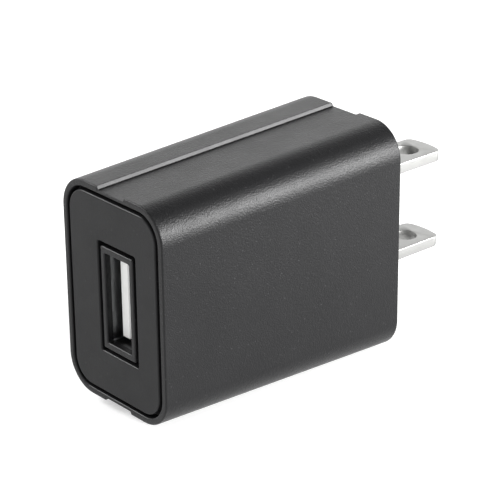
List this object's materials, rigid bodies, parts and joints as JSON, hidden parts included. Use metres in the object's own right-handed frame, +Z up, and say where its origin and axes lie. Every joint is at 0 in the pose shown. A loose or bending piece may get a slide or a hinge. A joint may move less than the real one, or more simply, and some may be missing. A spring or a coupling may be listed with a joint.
{
  "type": "usb wall charger",
  "caption": "Slim black USB wall charger: drafted rounded box with grip channels, inlaid front panel around a USB-A port, and flat mains blades on its back.",
  "frame": {"origin": "middle of the rear (wall) face, half way between the two blades", "axes": "+Y out of the wall face along the blades, so the USB port faces -Y; +Z up, across the blades' broad faces; +X the wide right side"},
  "size_m": [0.0208, 0.0548, 0.0322],
  "materials": {
    "black_housing": "fine spark-eroded black moulded ABS and polycarbonate",
    "dark_panel": "matte dark grey moulded plastic",
    "nickel_blade": "bright nickel-plated brass",
    "tinned_steel": "tin-plated folded steel",
    "white_nylon": "white moulded nylon",
    "gold_contact": "gold-flashed spring bronze",
    "adhesive_film": "double-sided adhesive film",
    "board_laminate": "phenolic paper laminate",
    "ferrite": "sintered ferrite",
    "bobbin_resin": "black phenolic moulding",
    "enamelled_copper": "enamelled copper winding wire",
    "yellow_tape": "yellow polyester tape",
    "capacitor_sleeve": "dark shrink sleeve over aluminium can",
    "epoxy_black": "black moulded epoxy",
    "blue_epoxy": "blue dipped epoxy",
    "resistor_coat": "grey-green flameproof coating",
    "heat_shrink": "black heat-shrink tube",
    "tan_ceramic": "fired ceramic",
    "white_wire": "white PVC insulation",
    "black_wire": "black PVC insulation",
    "solder": "tin solder"
  },
  "bodies": {
    "root": {"housing_shell": "black_housing", "rear_cover": "black_housing", "port_collar": "black_housing", "front_panel": "dark_panel", "upper_blade": "nickel_blade", "lower_blade": "nickel_blade", "usb_shell": "tinned_steel", "usb_tongue_body": "white_nylon", "usb_contact_supply": "gold_contact", "usb_contact_data_minus": "gold_contact", "usb_contact_data_plus": "gold_contact", "usb_contact_ground": "gold_contact", "panel_adhesive": "adhesive_film", "circuit_board": "board_laminate", "core_half_inner": "ferrite", "core_half_outer": "ferrite", "filter_choke": "ferrite", "bobbin": "bobbin_resin", "winding": "enamelled_copper", "winding_tape": "yellow_tape", "core_tape": "yellow_tape", "input_capacitor_1": "capacitor_sleeve", "input_capacitor_2": "capacitor_sleeve", "output_capacitor": "capacitor_sleeve", "supply_capacitor": "capacitor_sleeve", "control_chip": "epoxy_black", "bridge_rectifier": "epoxy_black", "output_diode": "epoxy_black", "chip_resistor_1": "epoxy_black", "chip_resistor_2": "epoxy_black", "chip_resistor_3": "epoxy_black", "chip_resistor_4": "epoxy_black", "safety_capacitor": "blue_epoxy", "fusible_resistor": "resistor_coat", "resistor_sleeve": "heat_shrink", "chip_capacitor_1": "tan_ceramic", "chip_capacitor_2": "tan_ceramic", "upper_lead_wire": "white_wire", "lower_lead_wire": "black_wire", "upper_wire_solder": "solder", "lower_wire_solder": "solder", "transformer_pin_1": "solder", "transformer_pin_2": "solder", "transformer_pin_3": "solder", "transformer_pin_4": "solder", "transformer_pin_5": "solder", "transformer_pin_6": "solder"}
  },
  "joints": []
}
